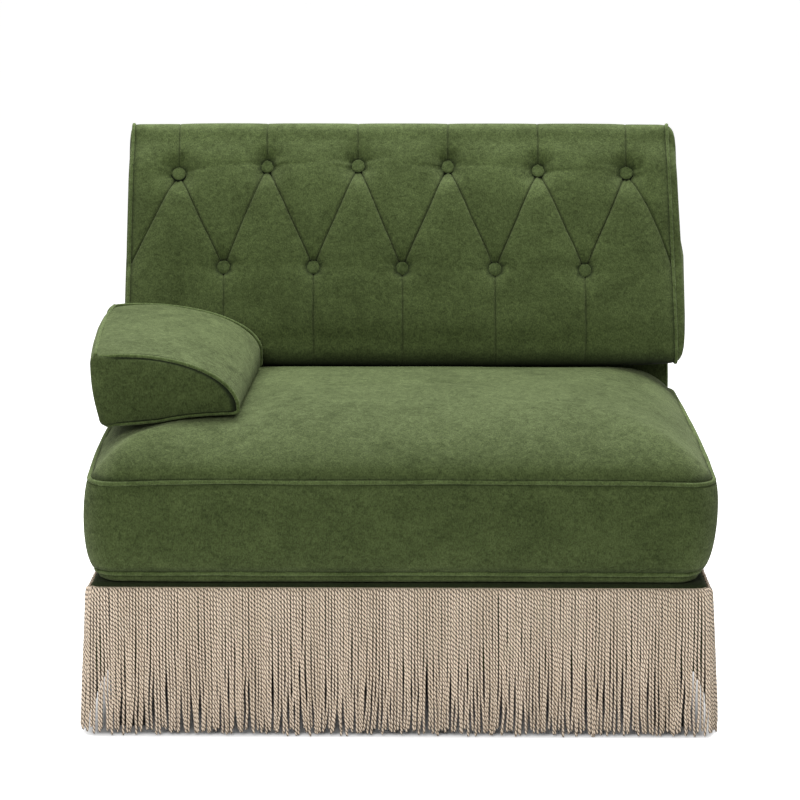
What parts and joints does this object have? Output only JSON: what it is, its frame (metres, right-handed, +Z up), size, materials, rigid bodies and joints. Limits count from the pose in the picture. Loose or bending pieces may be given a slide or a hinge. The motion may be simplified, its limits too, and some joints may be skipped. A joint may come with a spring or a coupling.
{
  "type": "fainting couch",
  "caption": "Velvet fainting couch module: fringed box base, crowned seat cushion, raked buttoned back cushion and a D-shaped arm bolster on its left.",
  "frame": {"origin": "on the floor, at the centre of the footprint", "axes": "+Z up; the front faces -Y; +X runs to the right of someone who looks at the front, away from the arm bolster"},
  "size_m": [0.934, 0.8768, 0.8448],
  "materials": {
    "velvet": "mottled olive green velvet",
    "fringe_cord": "twisted matte beige cord",
    "black_lacquer": "satin black lacquer",
    "frame_timber": "raw planed timber",
    "plywood": "raw sanded plywood",
    "zinc_steel": "bright zinc plate",
    "spring_steel": "dark oiled wire",
    "felt": "grey needled felt",
    "foam": "open-cell foam",
    "elastic_strap": "woven elastic",
    "dust_cloth": "black non-woven cloth",
    "zip_tape": "woven zip tape",
    "zip_metal": "dull brass",
    "twine": "waxed twine",
    "button_plastic": "plain moulded plastic"
  },
  "bodies": {
    "frame": {"front_rail": "frame_timber", "rear_rail": "frame_timber", "left_rail": "frame_timber", "right_rail": "frame_timber", "left_gusset": "plywood", "right_gusset": "plywood", "corner_blocks": "frame_timber", "gusset_bolts": "zinc_steel", "seat_springs": "spring_steel", "spring_clips": "zinc_steel", "deck_pad": "felt", "base_cover": "velvet", "dust_cover": "dust_cloth", "front_left_foot": "black_lacquer", "front_right_foot": "black_lacquer", "rear_left_foot": "black_lacquer", "rear_right_foot": "black_lacquer", "foot_bolts": "zinc_steel", "foot_nuts": "zinc_steel", "foot_glides": "felt", "left_back_post": "frame_timber", "right_back_post": "frame_timber", "back_lower_rail": "frame_timber", "back_middle_rail": "frame_timber", "back_top_rail": "frame_timber", "back_straps": "elastic_strap", "back_pad": "foam", "rear_board": "plywood", "back_cover": "velvet", "fringe_tape": "fringe_cord", "front_fringe": "fringe_cord", "rear_fringe": "fringe_cord", "left_fringe": "fringe_cord", "right_fringe": "fringe_cord"},
    "seat_cushion": {"seat_cover": "velvet", "seat_foam": "foam", "seat_top_piping": "velvet", "seat_bottom_piping": "velvet", "zip_tape": "zip_tape"},
    "zip_slider": {"zip_slider": "zip_metal"},
    "back_cushion": {"back_cushion_cover": "velvet", "back_cushion_foam": "foam", "back_left_piping": "velvet", "back_right_piping": "velvet", "tuft_buttons": "velvet", "tuft_ties": "twine", "tuft_washers": "button_plastic"},
    "arm_bolster": {"bolster_cover": "velvet", "bolster_foam": "foam", "bolster_front_piping": "velvet", "bolster_rear_piping": "velvet"}
  },
  "joints": [
    {"name": "seat_cushion_lift", "type": "slide", "parent": "frame", "child": "seat_cushion", "axis": [0, 0, 1], "range_m": [0, 0.6]},
    {"name": "back_cushion_lift", "type": "slide", "parent": "seat_cushion", "child": "back_cushion", "axis": [0, 0.309, 0.9511], "range_m": [0, 0.45]},
    {"name": "arm_bolster_lift", "type": "slide", "parent": "seat_cushion", "child": "arm_bolster", "axis": [0, 0, 1], "range_m": [0, 0.3]},
    {"name": "zip_open", "type": "slide", "parent": "seat_cushion", "child": "zip_slider", "axis": [-1, 0, 0], "range_m": [0, 0.56]}
  ]
}
